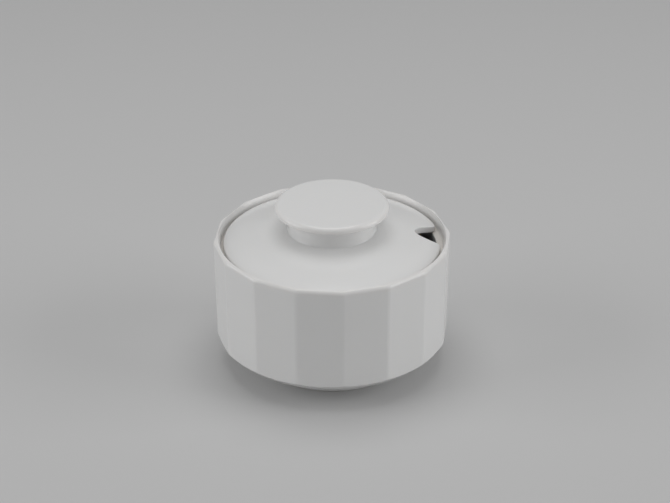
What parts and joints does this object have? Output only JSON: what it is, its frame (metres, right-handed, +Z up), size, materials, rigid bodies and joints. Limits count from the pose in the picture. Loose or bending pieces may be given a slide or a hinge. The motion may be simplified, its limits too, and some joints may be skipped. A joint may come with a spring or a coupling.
{
  "type": "sugar bowl with lid",
  "caption": "Faceted white porcelain sugar bowl on a round foot ring, with a sunken lift-off lid that has a spoon notch and a broad disc knob.",
  "frame": {"origin": "on the bowl's axis, level with the face that the foot ring stands on", "axes": "+Z up along the axis, +X through the spoon notch and a corner of the bowl"},
  "size_m": [0.106, 0.106, 0.0776],
  "materials": {
    "porcelain": "white porcelain under a clear gloss glaze, bare and satin on the foot ring's face and where the lid rests"
  },
  "bodies": {
    "bowl": {"bowl": "porcelain"},
    "lid": {"lid": "porcelain", "lid_knob": "porcelain"}
  },
  "joints": [
    {"name": "lid_lift", "type": "slide", "parent": "bowl", "child": "lid", "axis": [0, 0, 1], "range_m": [0, 0.1]}
  ]
}
